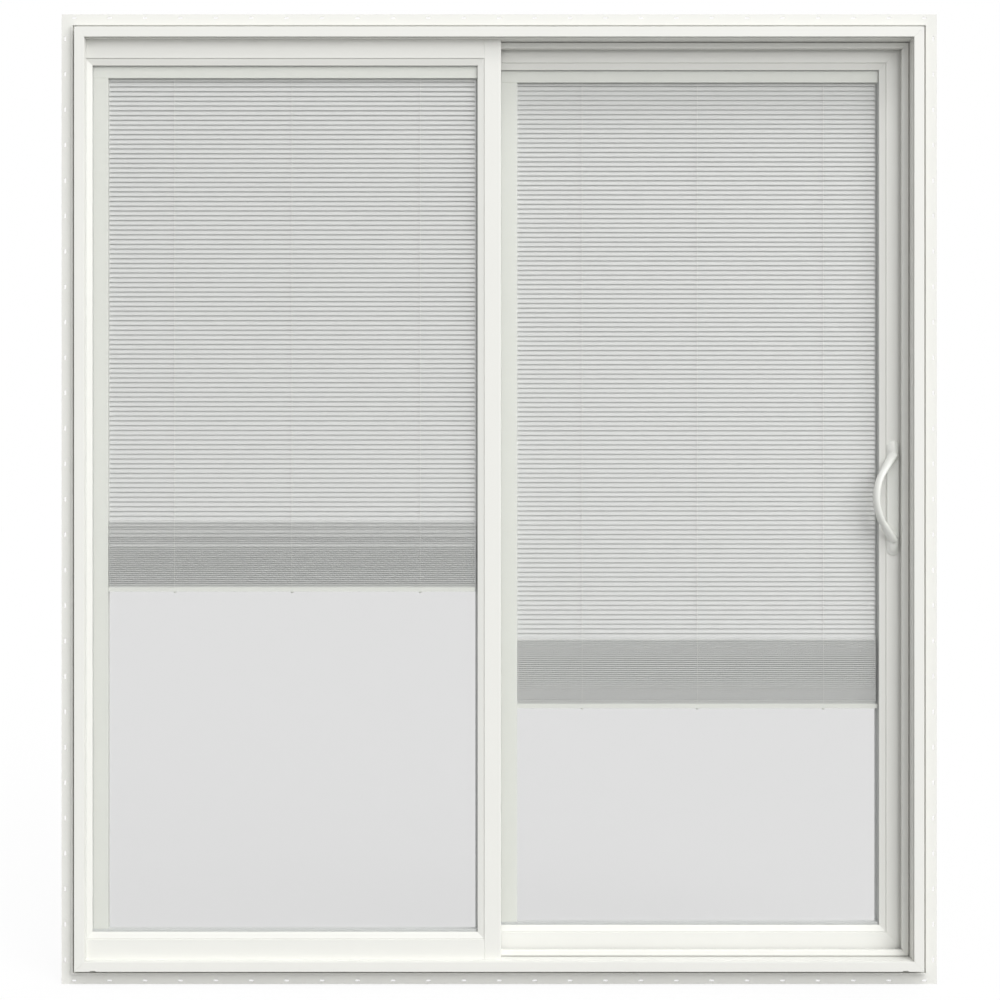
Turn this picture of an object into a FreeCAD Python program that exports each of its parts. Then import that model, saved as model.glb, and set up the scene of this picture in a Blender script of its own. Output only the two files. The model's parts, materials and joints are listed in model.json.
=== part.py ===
"""Glass sliding patio door: a white vinyl frame with a nailing fin, a fixed panel on the left, a sliding
panel on the right and a mini blind sealed inside each double-glazed unit.

Frame of the part: X to the right and Z up as seen from outside, Y inward, millimetres. The origin is the
middle of the bottom nailing fin's back face. Depths are counted inward from the frame's outside face.
"""

import FreeCAD, Part
import math
import os

V = FreeCAD.Vector

# Overall frame
frame_width = 1816.1
frame_height = 2019.3
frame_depth = 116.0

# Nailing fin and its slots
fin_setback = 32.0
fin_reach = 33.3
fin_thickness = 2.0
fin_lip_gap = 6.4
fin_lip_thickness = 2.4
fin_lip_height = 14.0
slot_pitch = 76.2
slot_length = 10.0
slot_width = 4.0
slot_offset = 25.8

# Frame section: insets are counted inward from the outside of the frame
face_width = 22.0
face_lip_depth = 22.0
lip_thickness = 3.0
lip_groove_height = 8.0
lip_groove_back = 10.0
outer_wall = 5.0
divider_thickness = 3.0
channel_floor = 12.0
flange_height = 38.0
flange_thickness = 5.0
edge_radius = 1.2
weep_width = 12.0
weep_height = 2.5
weep_depth = 6.0
weep_from_end = 40.0

# Covers that close the pocket on the sliding side
cover_leg_depth = 15.0
jamb_cover_reach = 38.0
rail_cover_reach = 35.5
cover_crease_width = 2.4
cover_crease_depth = 6.0

# Panels, both of one thickness
panel_thickness = 38.0
panel_edge_radius = 3.0
panel_inner_edge_radius = 1.0
panel_gap = 8.0
fixed_panel_width = 907.0
fixed_top_rail_width = 58.0
fixed_bottom_rail_width = 60.0
side_stile_width = 14.2
meeting_stile_width = 36.0
meeting_overlap = 50.4
sliding_rail_width = 42.0
sliding_head_gap = 8.1
sliding_sill_gap = 15.6
sliding_jamb_gap = 14.0

# Glazing
bead_width = 14.5
bead_setback = 1.5
bead_slope = 4.0
glass_setback = 8.0
glass_bite = 12.0
glass_edge_gap = 1.5
lite_thickness = 3.0
unit_gap = 19.0
spacer_sight = 5.0
sliding_spacer_side_sight = 0.8

# Blinds between the panes
headrail_height = 25.5
headrail_groove_depth = 7.5
headrail_groove_width = 9.0
fixed_operator_width = 32.3
sliding_operator_width = 34.9
blind_body_gap = 1.0
slat_width = 12.5
slat_thickness = 0.3
slat_pitch = 10.29
top_slat_show = 5.3
slat_tilt = 62.0
slat_end_gap = 0.3
fixed_open_height = 958.0
sliding_open_height = 1216.0
stack_height = 144.5
blind_rail_height = 9.0
blind_rail_depth = 13.0
button_radius = 3.0
button_height = 3.0
button_places = (0.18, 0.5, 0.85)

# Roller track, wheels and trucks
track_base_width = 16.0
track_base_height = 1.5
track_rib_width = 3.0
track_rib_height = 9.0
wheel_width = 8.0
wheel_tread_radius = 13.0
wheel_flange_radius = 15.0
wheel_groove_width = 4.4
wheel_running_gap = 0.3
truck_length = 86.0
truck_width = 18.0
truck_height = 27.0
truck_wall = 4.0
truck_play = 2.0
truck_side_play = 1.0
truck_from_end = 130.0
axle_radius = 2.5

# Stop at the end of the travel
stop_from_jamb = 24.1
stop_length = 40.0
stop_height = 34.0
stop_side_gap = 2.0

# Pull handles. The bow leans outward from the plate by its angle. Knees part its arc from its arms
handle_height = 249.0
handle_width = 27.5
handle_rise = 3.0
handle_plate_thickness = 2.5
handle_from_stile_edge = 27.0
inner_handle_from_stile_edge = 32.0
bow_reach = 52.0
bow_knee_reach = 32.0
bow_knee_half_height = 55.0
bow_angle = 36.0
bow_thickness = 13.0
bow_breadth = 18.0
bow_root_flare = 1.4
boss_width = 25.0
boss_length = 46.0
boss_height = 7.0

# Lock
turn_radius = 9.0
turn_height = 6.0
turn_lever_length = 34.0
turn_lever_width = 7.0
turn_lever_height = 12.0
faceplate_length = 160.0
faceplate_width = 20.0
faceplate_thickness = 2.0
hook_slot_length = 40.0
hook_slot_width = 8.0
hook_pocket_depth = 22.0
keeper_length = 120.0
keeper_width = 22.0
keeper_gap = 6.0
keeper_pocket_depth = 5.0


class Rect:
    """An upright rectangle seen from outside."""

    def __init__(self, x0, x1, z0, z1):
        self.x0, self.x1, self.z0, self.z1 = x0, x1, z0, z1

    def inset(self, amount):
        return Rect(self.x0 + amount, self.x1 - amount, self.z0 + amount, self.z1 - amount)

    @property
    def middle_x(self):
        return (self.x0 + self.x1) / 2

    @property
    def middle_z(self):
        return (self.z0 + self.z1) / 2


def y_at(depth):
    """The Y of a depth behind the frame's outside face."""
    return depth - fin_setback


# Places worked out from the sizes above
frame_rect = Rect(
    -frame_width / 2,
    frame_width / 2,
    fin_reach / 2,
    fin_reach / 2 + frame_height,
)
pocket_rect = frame_rect.inset(outer_wall)
channel_rect = frame_rect.inset(channel_floor)
fixed_front = face_lip_depth
pocket_back = fixed_front + panel_thickness
sliding_front = pocket_back + panel_gap
fixed_rect = Rect(pocket_rect.x0, pocket_rect.x0 + fixed_panel_width, pocket_rect.z0, pocket_rect.z1)
sliding_rect = Rect(
    fixed_rect.x1 - meeting_overlap,
    channel_rect.x1 - sliding_jamb_gap,
    channel_rect.z0 + sliding_sill_gap,
    channel_rect.z1 - sliding_head_gap,
)
track_depth = sliding_front + panel_thickness / 2
handle_z = frame_rect.middle_z + handle_rise
everywhere = 3 * (frame_width + frame_height)
cut_margin = 1.0
tolerance = 0.01


def prism(corners, direction):
    """A straight bar from a section: corners are (point, edge radius) pairs in order round it."""
    count = len(corners)
    edges = []
    ends = []
    for i, (point, radius) in enumerate(corners):
        before = (corners[i - 1][0] - point).normalize()
        after = (corners[(i + 1) % count][0] - point).normalize()
        if radius <= 0:
            ends.append((point, None, point))
            continue
        half = before.getAngle(after) / 2
        centre = point + (before + after).normalize() * (radius / math.sin(half))
        reach = radius / math.tan(half)
        top = centre + (point - centre).normalize() * radius
        ends.append((point + before * reach, top, point + after * reach))
    for i, (start, top, end) in enumerate(ends):
        if top is not None:
            edges.append(Part.Arc(start, top, end).toShape())
        edges.append(Part.makeLine(end, ends[(i + 1) % count][0]))
    return Part.Face(Part.Wire(edges)).extrude(direction)


def box(x0, x1, depth0, depth1, z0, z1):
    """A box between two depths."""
    return Part.makeBox(x1 - x0, depth1 - depth0, z1 - z0, V(x0, y_at(depth0), z0))


def edge_bar(rect, side, section, low=None, high=None):
    """A bar along one side of a rectangle. The section is (depth, inset, radius) rows. low and high are
    the places of square ends; an end left out is mitred at the corner of the rectangle."""
    insets = [inset for depth, inset, radius in section]
    near, far = min(insets), max(insets)
    upright = side in ("left", "right")
    edge = {"top": rect.z1, "bottom": rect.z0, "left": rect.x0, "right": rect.x1}[side]
    inward = -1 if side in ("top", "right") else 1
    ends = (rect.z0, rect.z1) if upright else (rect.x0, rect.x1)

    def place(along, inset, depth):
        across = edge + inward * inset
        return V(across, y_at(depth), along) if upright else V(along, y_at(depth), across)

    start = ends[0] - everywhere / 10
    length = ends[1] - ends[0] + everywhere / 5
    corners = [(place(start, inset, depth), radius) for depth, inset, radius in section]
    bar = prism(corners, V(0, 0, length) if upright else V(length, 0, 0))
    outline = []
    for inset in (near - cut_margin, far + cut_margin):
        first = ends[0] + inset if low is None else low
        last = ends[1] - inset if high is None else high
        outline.append((first, last, inset))
    (a0, a1, ai), (b0, b1, bi) = outline
    front = -everywhere / 2
    clip_points = [place(a0, ai, front), place(a1, ai, front), place(b1, bi, front), place(b0, bi, front)]
    clip = Part.Face(Part.makePolygon(clip_points + clip_points[:1])).extrude(V(0, everywhere, 0))
    return bar.common(clip).Solids[0]


def fuse(shapes):
    """One solid from pieces that share faces or overlap."""
    first, *rest = shapes
    return first.multiFuse(rest).removeSplitter().Solids[0]


def ring(rect, section):
    """A mitred ring inside a rectangle."""
    return fuse([edge_bar(rect, side, section) for side in ("top", "bottom", "left", "right")])


def plate_ring(outer, inner, depth0, depth1):
    """A flat ring between two rectangles."""
    whole = box(outer.x0, outer.x1, depth0, depth1, outer.z0, outer.z1)
    hole = box(inner.x0, inner.x1, depth0 - cut_margin, depth1 + cut_margin, inner.z0, inner.z1)
    return whole.cut(hole).Solids[0]


def cylinder_y(x, depth0, depth1, z, radius):
    """A round bar along Y."""
    return Part.makeCylinder(radius, depth1 - depth0, V(x, y_at(depth0), z), V(0, 1, 0))


# The frame


def frame_section():
    """The frame's section: lip with its groove, panel pocket, divider, track channel and inner flange."""
    flange_front = frame_depth - flange_thickness
    return [
        (0, 0, edge_radius),
        (frame_depth, 0, 0),
        (frame_depth, flange_height, edge_radius),
        (flange_front, flange_height, edge_radius),
        (flange_front, channel_floor, 0),
        (pocket_back + divider_thickness, channel_floor, 0),
        (pocket_back + divider_thickness, face_width, 0),
        (pocket_back, face_width, 0),
        (pocket_back, outer_wall, 0),
        (fixed_front, outer_wall, 0),
        (fixed_front, face_width, 0),
        (lip_groove_back, face_width, 0),
        (lip_groove_back, face_width - lip_groove_height, 0),
        (lip_thickness, face_width - lip_groove_height, 0),
        (lip_thickness, face_width, 0),
        (0, face_width, edge_radius),
    ]


def frame_sill():
    """The sill, with a weep notch near each end of its outside bottom edge."""
    sill = edge_bar(frame_rect, "bottom", frame_section())
    for middle in (frame_rect.x0 + weep_from_end, frame_rect.x1 - weep_from_end):
        left = middle - weep_width / 2
        low, high = frame_rect.z0 - cut_margin, frame_rect.z0 + weep_height
        sill = sill.cut(box(left, left + weep_width, -cut_margin, weep_depth, low, high))
    return sill.Solids[0]


def pocket_cover(side, reach, low=None):
    """A cover in the empty pocket beside the sliding panel. Its leg hides the panel's edge, and a crease
    runs along the foot of the leg."""
    leg_front = pocket_back - cover_leg_depth
    section = [
        (fixed_front, outer_wall, 0),
        (pocket_back, outer_wall, 0),
        (pocket_back, reach, edge_radius),
        (leg_front, reach, edge_radius),
        (leg_front, face_width + cover_crease_width, 0),
        (leg_front + cover_crease_depth, face_width + cover_crease_width, 0),
        (leg_front + cover_crease_depth, face_width, 0),
        (fixed_front, face_width, 0),
    ]
    return edge_bar(frame_rect, side, section, low)


def slot(x, z, upright):
    """The cutter for one slot of the nailing fin."""
    direction = V(0, 0, 1) if upright else V(1, 0, 0)
    across = V(1, 0, 0) if upright else V(0, 0, 1)
    step = direction * ((slot_length - slot_width) / 2)
    tip = direction * (slot_length / 2)
    side = across * (slot_width / 2)
    centre = V(x, y_at(fin_setback - 2 * fin_thickness), z)
    edges = [
        Part.makeLine(centre - step + side, centre + step + side),
        Part.Arc(centre + step + side, centre + tip, centre + step - side).toShape(),
        Part.makeLine(centre + step - side, centre - step - side),
        Part.Arc(centre - step - side, centre - tip, centre - step + side).toShape(),
    ]
    return Part.Face(Part.Wire(edges)).extrude(V(0, 3 * fin_thickness, 0))


def nail_fin(side):
    """One strip of the nailing fin, mitred at the corners, with its lip and a row of slots."""
    front = fin_setback - fin_thickness
    lip_far = fin_lip_gap + fin_lip_thickness
    section = [
        (front, 0, 0),
        (fin_setback, 0, 0),
        (fin_setback, -fin_reach, 0),
        (front, -fin_reach, 0),
        (front, -lip_far, 0),
        (front - fin_lip_height, -lip_far, 0),
        (front - fin_lip_height, -fin_lip_gap, 0),
        (front, -fin_lip_gap, 0),
    ]
    strip = edge_bar(frame_rect, side, section)
    upright = side in ("left", "right")
    span = frame_height if upright else frame_width
    each_way = int((span / 2 + slot_offset / 2) // slot_pitch)
    cutters = []
    for k in range(-each_way, each_way + 1):
        if upright:
            x = {"left": frame_rect.x0 - slot_offset, "right": frame_rect.x1 + slot_offset}[side]
            cutters.append(slot(x, frame_rect.middle_z + k * slot_pitch, True))
        else:
            z = {"bottom": frame_rect.z0 - slot_offset, "top": frame_rect.z1 + slot_offset}[side]
            cutters.append(slot(frame_rect.middle_x + k * slot_pitch, z, False))
    return strip.cut(Part.makeCompound(cutters)).Solids[0]


def sill_track():
    """The rail that the wheels run on, from the stop to the lock side."""
    x0 = channel_rect.x0 + stop_from_jamb + stop_length
    x1 = channel_rect.x1 - sliding_jamb_gap
    floor = channel_rect.z0
    half_base, half_rib = track_base_width / 2, track_rib_width / 2
    top = floor + track_rib_height
    points = [
        (track_depth - half_base, floor, 0),
        (track_depth + half_base, floor, 0),
        (track_depth + half_base, floor + track_base_height, 0),
        (track_depth + half_rib, floor + track_base_height, 0),
        (track_depth + half_rib, top, half_rib / 2),
        (track_depth - half_rib, top, half_rib / 2),
        (track_depth - half_rib, floor + track_base_height, 0),
        (track_depth - half_base, floor + track_base_height, 0),
    ]
    corners = [(V(x0, y_at(depth), z), radius) for depth, z, radius in points]
    return prism(corners, V(x1 - x0, 0, 0))


def panel_stop():
    """The bumper on the sill that ends the travel."""
    x0 = channel_rect.x0 + stop_from_jamb
    depth0 = pocket_back + divider_thickness + stop_side_gap
    depth1 = frame_depth - flange_thickness - stop_side_gap
    floor = channel_rect.z0
    block = box(x0, x0 + stop_length, depth0, depth1, floor, floor + stop_height)
    uprights = [edge for edge in block.Edges if abs(edge.tangentAt(edge.FirstParameter).z) > 0.9]
    return block.makeFillet(2 * edge_radius, uprights).Solids[0]


def lock_keeper():
    """The keeper on the lock jamb, with the pocket that takes the hook."""
    x1 = channel_rect.x1
    x0 = sliding_rect.x1 + keeper_gap
    half_length, half_width = keeper_length / 2, keeper_width / 2
    block = box(
        x0,
        x1,
        track_depth - half_width,
        track_depth + half_width,
        handle_z - half_length,
        handle_z + half_length,
    )
    half_slot = hook_slot_width / 2
    pocket = box(
        x0 - cut_margin,
        x0 + keeper_pocket_depth,
        track_depth - half_slot,
        track_depth + half_slot,
        handle_z - hook_slot_length / 2,
        handle_z + hook_slot_length / 2,
    )
    return block.cut(pocket).Solids[0]


# The panels


def panel_section(width, front):
    """A rail or stile: a block and the rebate leg that backs the glass."""
    back = front + panel_thickness
    leg_front = front + glass_setback + 2 * lite_thickness + unit_gap
    return [
        (front, 0, panel_edge_radius),
        (back, 0, 0),
        (back, width + bead_width, edge_radius),
        (leg_front, width + bead_width, 0),
        (leg_front, width, 0),
        (front, width, panel_inner_edge_radius),
    ]


def bead_section(front):
    """A glazing bead, sloping from the panel's face down to the glass."""
    glass = front + glass_setback
    return [
        (front + bead_setback, 0, edge_radius),
        (glass, 0, 0),
        (glass, bead_width, 0),
        (front + bead_setback + bead_slope, bead_width, edge_radius),
    ]


def glazing(prefix, daylight, front, side_sight):
    """The bead, the two panes and the spacer round one opening. The spacer is notched for the headrail."""
    glass_front = front + glass_setback
    pane = daylight.inset(-glass_bite)
    inner_front = glass_front + lite_thickness + unit_gap
    spacer_outer = pane.inset(glass_edge_gap)
    spacer_inner = Rect(
        daylight.x0,
        daylight.x1 - side_sight,
        daylight.z0 + spacer_sight,
        daylight.z1,
    )
    spacer_front = glass_front + lite_thickness
    yield f"{prefix}_glazing_bead", ring(daylight.inset(-bead_width), bead_section(front))
    yield (
        f"{prefix}_outer_glass",
        box(pane.x0, pane.x1, glass_front, glass_front + lite_thickness, pane.z0, pane.z1),
    )
    yield (
        f"{prefix}_inner_glass",
        box(pane.x0, pane.x1, inner_front, inner_front + lite_thickness, pane.z0, pane.z1),
    )
    spacer = plate_ring(spacer_outer, spacer_inner, spacer_front, inner_front)
    notch_bottom = daylight.z1 - headrail_height
    notch = box(spacer_inner.x1, daylight.x1, spacer_front, inner_front, notch_bottom, daylight.z1)
    yield f"{prefix}_glass_spacer", spacer.cut(notch).Solids[0]


def blind(prefix, daylight, front, side_sight, operator_width, open_height):
    """The blind between the panes: headrail, operator channel, slats with their stack, and bottom rail.
    The top slat reaches up into the headrail's groove."""
    gap_front = front + glass_setback + lite_thickness
    body_front = gap_front + blind_body_gap
    body_back = gap_front + unit_gap - blind_body_gap
    middle = gap_front + unit_gap / 2
    slats_x0 = daylight.x0 + operator_width + slat_end_gap
    slats_x1 = daylight.x1 - side_sight - slat_end_gap
    headrail_bottom = daylight.z1 - headrail_height
    headrail = box(daylight.x0, daylight.x1, body_front, body_back, headrail_bottom, daylight.z1)
    groove = box(
        daylight.x0 - cut_margin,
        daylight.x1 + cut_margin,
        middle - headrail_groove_width / 2,
        middle + headrail_groove_width / 2,
        headrail_bottom - cut_margin,
        headrail_bottom + headrail_groove_depth,
    )
    yield f"{prefix}_blind_headrail", headrail.cut(groove).Solids[0]
    yield (
        f"{prefix}_blind_channel",
        box(
            daylight.x0,
            daylight.x0 + operator_width,
            body_front,
            body_back,
            daylight.z0 + spacer_sight,
            headrail_bottom,
        ),
    )

    # Each open slat leans with its outer edge down
    tilt = math.radians(slat_tilt)
    along = V(0, math.cos(tilt), math.sin(tilt)) * (slat_width / 2)
    across = V(0, -math.sin(tilt), math.cos(tilt)) * (slat_thickness / 2)
    first_bottom = headrail_bottom - top_slat_show
    first_middle = first_bottom + along.z + across.z
    open_slats = int(open_height // slat_pitch)
    solids = []
    for k in range(open_slats):
        centre = V(slats_x0, y_at(middle), first_middle - k * slat_pitch)
        lower, upper = centre - along, centre + along
        corners = [lower - across, upper - across, upper + across, lower + across]
        solids.append(prism([(corner, 0) for corner in corners], V(slats_x1 - slats_x0, 0, 0)))
    stack_top = first_bottom - (open_slats - 1) * slat_pitch - slat_end_gap
    stack_bottom = stack_top - stack_height
    half_stack = slat_width / 2
    solids.append(box(slats_x0, slats_x1, middle - half_stack, middle + half_stack, stack_bottom, stack_top))
    yield f"{prefix}_blind_slats", Part.makeCompound(solids)

    rail_bottom = stack_bottom - blind_rail_height
    half_rail = blind_rail_depth / 2
    rail = [box(slats_x0, slats_x1, middle - half_rail, middle + half_rail, rail_bottom, stack_bottom)]
    for share in button_places:
        spot = V(slats_x0 + share * (slats_x1 - slats_x0), y_at(middle), rail_bottom)
        rail.append(Part.makeCylinder(button_radius, button_height, spot, V(0, 0, -1)))
    yield f"{prefix}_blind_bottom_rail", fuse(rail)


def panel_frame(prefix, rect, front, top_width, bottom_width, left, right):
    """The rails and stiles of a panel. left and right are (name, width, mitred) rows: a mitred stile meets
    the rails at 45 degrees, and any other runs full height with the rails butted against it."""
    low = None if left[2] else rect.x0 + left[1]
    high = None if right[2] else rect.x1 - right[1]
    rails = {
        f"{prefix}_top_rail": edge_bar(rect, "top", panel_section(top_width, front), low, high),
        f"{prefix}_bottom_rail": edge_bar(rect, "bottom", panel_section(bottom_width, front), low, high),
    }
    stiles = {}
    for side, (name, width, mitred) in (("left", left), ("right", right)):
        section = panel_section(width, front)
        if mitred:
            stiles[f"{prefix}_{name}"] = edge_bar(rect, side, section)
        else:
            full = edge_bar(rect, side, section, rect.z0, rect.z1)
            stiles[f"{prefix}_{name}"] = full.cut(Part.makeCompound(list(rails.values()))).Solids[0]
    return {**rails, **stiles}


def panel_daylight(rect, top_width, bottom_width, left_width, right_width):
    """The clear glass inside a panel's beads."""
    return Rect(
        rect.x0 + left_width + bead_width,
        rect.x1 - right_width - bead_width,
        rect.z0 + bottom_width + bead_width,
        rect.z1 - top_width - bead_width,
    )


def fixed_panel():
    """The left panel, set in the frame's pocket."""
    pieces = panel_frame(
        "fixed",
        fixed_rect,
        fixed_front,
        fixed_top_rail_width,
        fixed_bottom_rail_width,
        ("side_stile", side_stile_width, False),
        ("meeting_stile", meeting_stile_width, False),
    )
    daylight = panel_daylight(
        fixed_rect,
        fixed_top_rail_width,
        fixed_bottom_rail_width,
        side_stile_width,
        meeting_stile_width,
    )
    front, sight = fixed_front, spacer_sight
    pieces.update(glazing("fixed", daylight, front, sight))
    pieces.update(blind("fixed", daylight, front, sight, fixed_operator_width, fixed_open_height))
    return pieces


def sliding_panel():
    """The right panel, with its seats for the trucks and the lock, and its hardware."""
    pieces = panel_frame(
        "sliding",
        sliding_rect,
        sliding_front,
        sliding_rail_width,
        sliding_rail_width,
        ("meeting_stile", meeting_stile_width, False),
        ("lock_stile", sliding_rail_width, True),
    )
    for middle in truck_places():
        seat = truck_box(middle, truck_play)
        pieces["sliding_bottom_rail"] = pieces["sliding_bottom_rail"].cut(seat).Solids[0]
    stile_face = sliding_rect.x1
    seat = lock_box(stile_face - faceplate_thickness, faceplate_length, faceplate_width)
    hook = lock_box(stile_face - hook_pocket_depth, hook_slot_length, hook_slot_width)
    pieces["sliding_lock_stile"] = pieces["sliding_lock_stile"].cut(seat).cut(hook).Solids[0]
    pieces["lock_faceplate"] = seat.cut(hook).Solids[0]

    daylight = panel_daylight(
        sliding_rect,
        sliding_rail_width,
        sliding_rail_width,
        meeting_stile_width,
        sliding_rail_width,
    )
    front, sight = sliding_front, sliding_spacer_side_sight
    pieces.update(glazing("sliding", daylight, front, sight))
    pieces.update(blind("sliding", daylight, front, sight, sliding_operator_width, sliding_open_height))

    inner_face = sliding_front + panel_thickness
    outer_x = sliding_rect.x1 - handle_from_stile_edge
    inner_x = sliding_rect.x1 - inner_handle_from_stile_edge
    pieces["outer_pull_handle"] = pull_handle(outer_x, sliding_front, -1)
    pieces["inner_pull_handle"] = pull_handle(inner_x, inner_face, 1)
    pieces["lock_thumb_turn"] = thumb_turn(inner_x, inner_face + handle_plate_thickness)
    pieces["roller_trucks"] = Part.makeCompound([truck(middle) for middle in truck_places()])
    pieces["roller_wheels"] = Part.makeCompound([wheel(middle) for middle in truck_places()])
    return pieces


def lock_box(x0, length, width):
    """A box let into the edge of the lock stile."""
    half_length, half_width = length / 2, width / 2
    return box(
        x0,
        sliding_rect.x1,
        track_depth - half_width,
        track_depth + half_width,
        handle_z - half_length,
        handle_z + half_length,
    )


# Rollers


def truck_places():
    """The middles of the two trucks."""
    return sliding_rect.x0 + truck_from_end, sliding_rect.x1 - truck_from_end


def truck_box(middle, play):
    """The outside of a truck, with some play along and across it."""
    half_length, half_width = truck_length / 2 + play, truck_width / 2 + play
    return box(
        middle - half_length,
        middle + half_length,
        track_depth - half_width,
        track_depth + half_width,
        sliding_rect.z0,
        sliding_rect.z0 + truck_height,
    )


def truck(middle):
    """A truck's housing, open below."""
    half_slot = wheel_width / 2 + truck_side_play
    half_length = truck_length / 2 - truck_wall
    hollow = box(
        middle - half_length,
        middle + half_length,
        track_depth - half_slot,
        track_depth + half_slot,
        sliding_rect.z0 - cut_margin,
        sliding_rect.z0 + truck_height - truck_wall,
    )
    return truck_box(middle, 0).cut(hollow).Solids[0]


def wheel(middle):
    """A grooved wheel on its axle, over the rib of the track."""
    z = channel_rect.z0 + track_rib_height + wheel_running_gap + wheel_tread_radius
    half_width, half_groove = wheel_width / 2, wheel_groove_width / 2
    half_axle = half_width + truck_side_play
    return fuse(
        [
            cylinder_y(middle, track_depth - half_groove, track_depth + half_groove, z, wheel_tread_radius),
            cylinder_y(middle, track_depth - half_width, track_depth - half_groove, z, wheel_flange_radius),
            cylinder_y(middle, track_depth + half_groove, track_depth + half_width, z, wheel_flange_radius),
            cylinder_y(middle, track_depth - half_axle, track_depth + half_axle, z, axle_radius),
        ]
    )


# Handles


def pull_handle(x, face, outward):
    """A D-shaped pull: a thin plate, a domed boss at each end and a bow that leans from the lock side.
    outward is -1 on the outside of the door and 1 on the inside."""
    radius = handle_width / 2
    back = V(x, y_at(face), handle_z)
    side, up = V(radius, 0, 0), V(0, 0, handle_height / 2 - radius)
    tip = V(0, 0, handle_height / 2)
    outline = [
        Part.makeLine(back - side - up, back - side + up),
        Part.Arc(back - side + up, back + tip, back + side + up).toShape(),
        Part.makeLine(back + side + up, back + side - up),
        Part.Arc(back + side - up, back - tip, back - side - up).toShape(),
    ]
    plate = Part.Face(Part.Wire(outline)).extrude(V(0, outward * handle_plate_thickness, 0))
    front = back + V(0, outward * handle_plate_thickness, 0)
    front_edges = [e for e in plate.Edges if abs(e.CenterOfMass.y - front.y) < tolerance]
    pieces = [plate.makeFillet(handle_plate_thickness / 2, front_edges)]

    # Each boss is the cap of an egg whose long axis lies upright behind the plate's front
    egg_radius = (boss_width**2 / 4 + boss_height**2) / (2 * boss_height)
    egg_half_length = boss_length * egg_radius / boss_width
    boss_offset = (handle_height - boss_length) / 2 - handle_plate_thickness
    for sign in (-1, 1):
        middle = front + V(0, outward * (boss_height - egg_radius), sign * boss_offset)
        pole = V(0, 0, egg_half_length)
        ellipse = Part.Ellipse(middle + pole, middle + V(egg_radius, 0, 0), middle)
        rim = Part.Arc(ellipse, 0, math.pi).toShape()
        half_egg = Part.Face(Part.Wire([rim, Part.makeLine(middle - pole, middle + pole)]))
        pieces.append(half_egg.revolve(middle, V(0, 0, 1), 360))

    lean = math.radians(bow_angle)
    away = V(-math.cos(lean), outward * math.sin(lean), 0)
    rise = bow_reach - bow_knee_reach
    bow_radius = (bow_knee_half_height**2 + rise**2) / (2 * rise)
    centre = front + away * (bow_reach - bow_radius)
    knee = V(0, 0, bow_knee_half_height)
    low, high = front + away * bow_knee_reach - knee, front + away * bow_knee_reach + knee
    axis = (low - centre).cross(high - centre).normalize()

    def section(point, radial, flare):
        breadth, thickness = flare * bow_breadth / 2, flare * bow_thickness / 2
        return Part.Wire(Part.Ellipse(point + axis * breadth, point + radial * thickness, point).toShape())

    start = section(low, (low - centre).normalize(), 1)
    sweep = math.degrees((low - centre).getAngle(high - centre))
    pieces.append(Part.Face(start).revolve(centre, axis, sweep))
    for tip, sign in ((low, -1), (high, 1)):
        radial = (tip - centre).normalize()
        onward = axis.cross(radial) * sign
        root = tip - onward * (bow_knee_reach / onward.dot(away))
        pieces.append(Part.makeLoft([section(tip, radial, 1), section(root, radial, bow_root_flare)], True))

    # Nothing of the bosses or the bow reaches behind the plate
    reach = everywhere / 10
    depth0, depth1 = (face - reach, face) if outward < 0 else (face, face + reach)
    outside = box(x - reach, x + reach, depth0, depth1, handle_z - reach, handle_z + reach)
    return fuse([piece.common(outside) for piece in pieces])


def thumb_turn(x, face):
    """The lock's thumb turn on the inside plate."""
    spindle = Part.makeCylinder(turn_radius, turn_height, V(x, y_at(face), handle_z), V(0, 1, 0))
    half_width, half_length = turn_lever_width / 2, turn_lever_length / 2
    lever = box(
        x - half_width,
        x + half_width,
        face + turn_height - edge_radius,
        face + turn_lever_height,
        handle_z - half_length,
        handle_z + half_length,
    )
    lever = lever.makeFillet(edge_radius, lever.Edges)
    return fuse([spindle, lever])


def frame_pieces():
    """The outer frame, the fin, the covers and what is fastened to the frame."""
    pieces = {
        "frame_head": edge_bar(frame_rect, "top", frame_section()),
        "frame_sill": frame_sill(),
        "frame_left_jamb": edge_bar(frame_rect, "left", frame_section()),
        "frame_right_jamb": edge_bar(frame_rect, "right", frame_section()),
        "head_pocket_cover": pocket_cover("top", rail_cover_reach, fixed_rect.x1),
        "sill_pocket_cover": pocket_cover("bottom", rail_cover_reach, fixed_rect.x1),
        "jamb_pocket_cover": pocket_cover("right", jamb_cover_reach),
        "sill_track": sill_track(),
        "panel_stop": panel_stop(),
        "lock_keeper": lock_keeper(),
    }
    for side in ("top", "bottom", "left", "right"):
        pieces[f"nail_fin_{side}"] = nail_fin(side)
    return pieces


def main():
    os.makedirs("parts", exist_ok=True)
    for name, shape in {**frame_pieces(), **fixed_panel(), **sliding_panel()}.items():
        shape.exportStep(f"parts/{name}.step")


main()
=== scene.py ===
"""The look of a white vinyl sliding patio door, with a mini blind between the panes of each panel.

Everything is in metres and in the door's own frame: X to the right and Z up as seen from outside, Y inward.
"""

import json
import math
import random

import bmesh
import bpy
from mathutils import Matrix, Vector

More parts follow.
